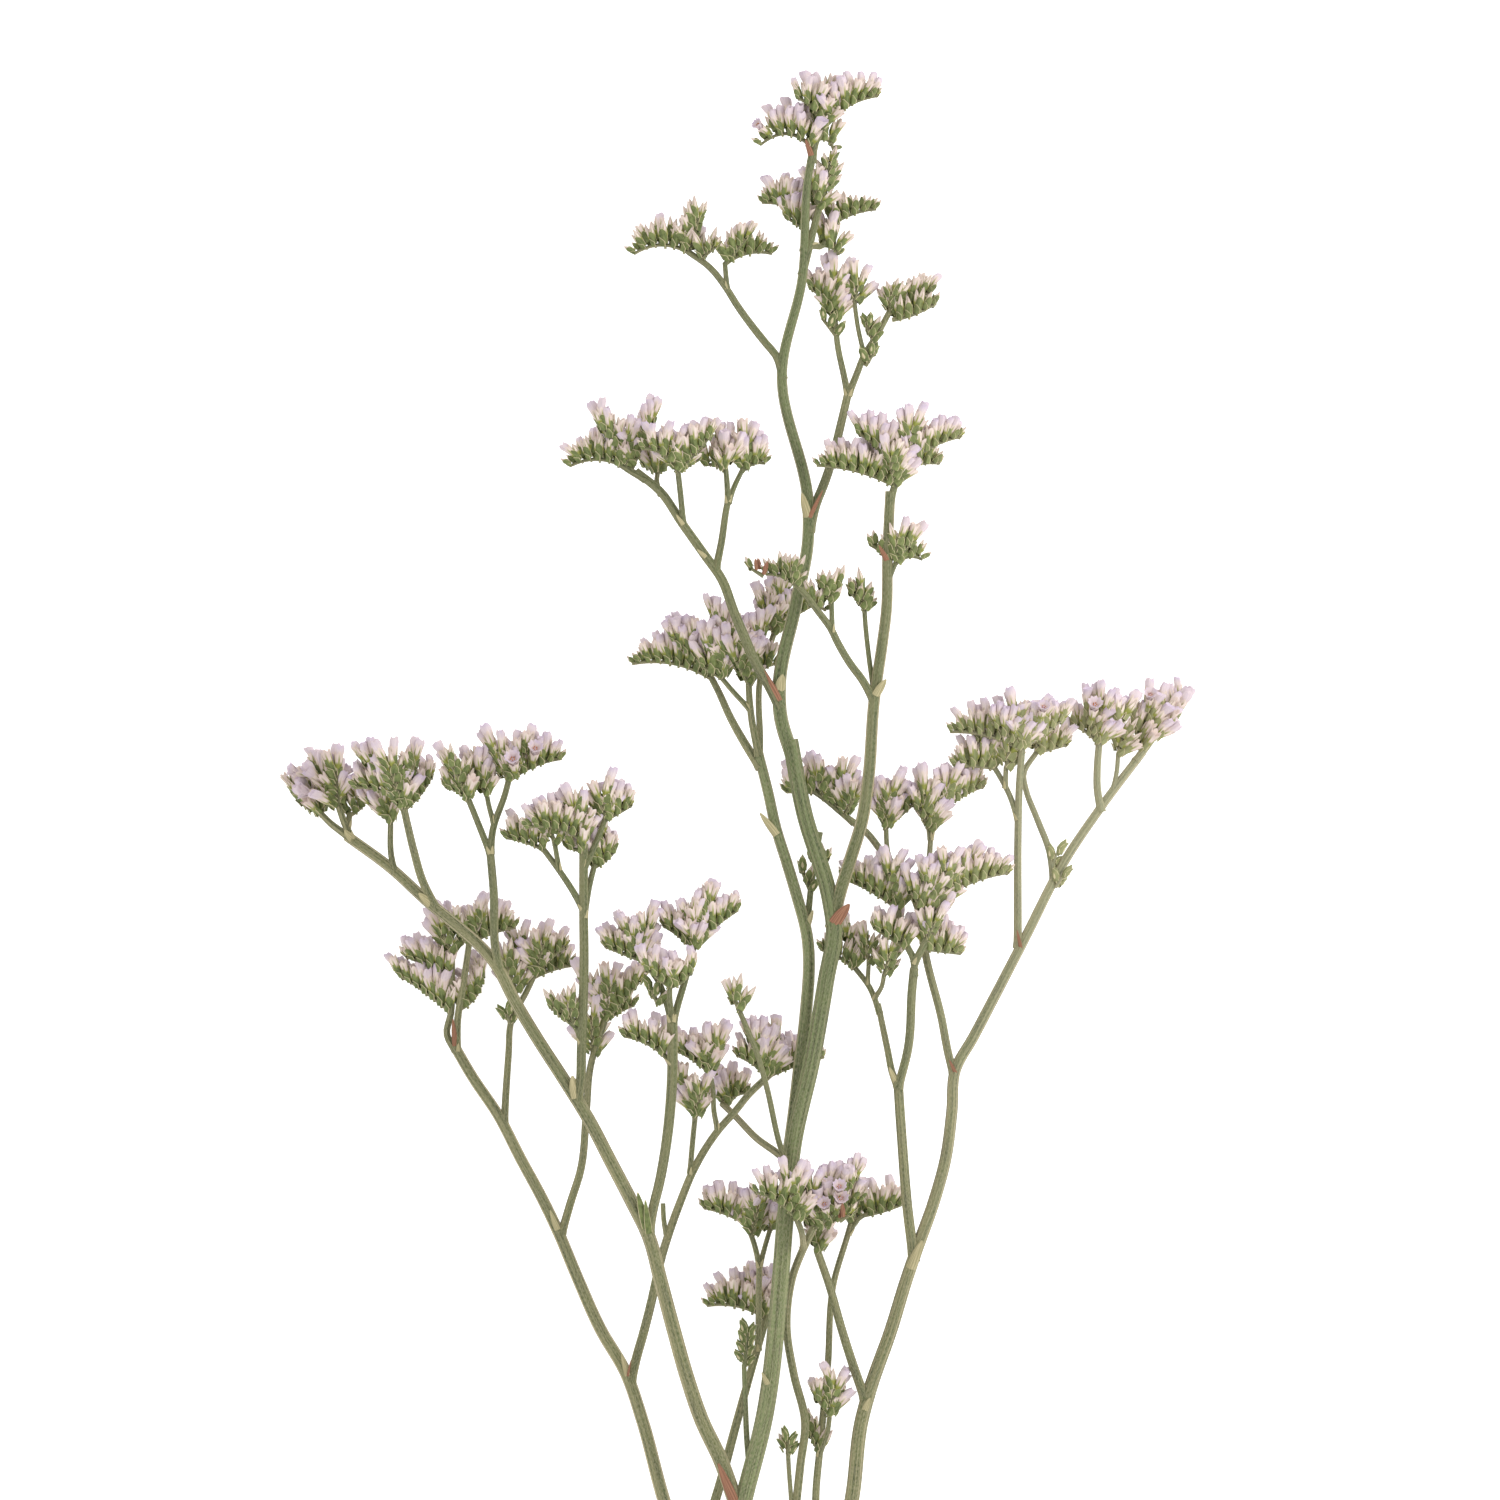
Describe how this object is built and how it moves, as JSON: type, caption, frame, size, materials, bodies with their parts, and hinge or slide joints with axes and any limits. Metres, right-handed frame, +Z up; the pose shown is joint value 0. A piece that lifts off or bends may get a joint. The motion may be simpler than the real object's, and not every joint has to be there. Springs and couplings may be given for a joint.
{
  "type": "dried flower spray",
  "caption": "Cut spray of dried statice lying flat: forked green stems with one-sided spikes of small pale lilac florets.",
  "frame": {"origin": "on the surface that the spray lies on, under the middle of its bounding box", "axes": "+Y along the main stem from its cut end to the top of the spray, +X to the right across it, +Z up from the surface, towards the viewer of the flowers"},
  "size_m": [0.2284, 0.4506, 0.0614],
  "materials": {
    "stem": "matte, fibrous",
    "floret": "matte, papery"
  },
  "bodies": {
    "root": {"main_stem": "stem", "branch_left": "stem", "branch_far_left": "stem", "branch_right": "stem", "branch_right_inner": "stem", "branch_right_middle": "stem", "branch_middle": "stem", "branch_upper_left": "stem", "branch_upper_right": "stem", "spray_top": "floret", "spray_top_back": "floret", "spray_top_right": "floret", "spray_crown_left": "floret", "spray_crown_right": "floret", "spray_upper_left_end": "floret", "spray_upper_left_middle": "floret", "spray_upper_left_small": "floret", "spray_upper_left_fork": "floret", "spray_upper_right_end": "floret", "spray_upper_right_low": "floret", "spray_hanging": "floret", "spray_hanging_back": "floret", "spray_middle_left": "floret", "spray_middle_dense": "floret", "spray_middle_back": "floret", "spray_left_end": "floret", "spray_left_second": "floret", "spray_left_third": "floret", "spray_left_fourth": "floret", "spray_left_upright": "floret", "spray_left_tall": "floret", "spray_far_left_end": "floret", "spray_far_left_twig": "floret", "spray_far_left_inner": "floret", "spray_far_left_crossing": "floret", "spray_single_front": "floret", "spray_single_back": "floret", "spray_centre": "floret", "spray_centre_low": "floret", "spray_centre_back": "floret", "spray_low_left": "floret", "spray_right_inner_left": "floret", "spray_right_inner_end": "floret", "spray_right_middle_end": "floret", "spray_right_middle_short": "floret", "spray_right_middle_tall": "floret", "spray_right_tall": "floret", "spray_right_crossing": "floret", "spray_right_upright": "floret", "spray_right_small": "floret", "spray_right_end": "floret"}
  },
  "joints": []
}
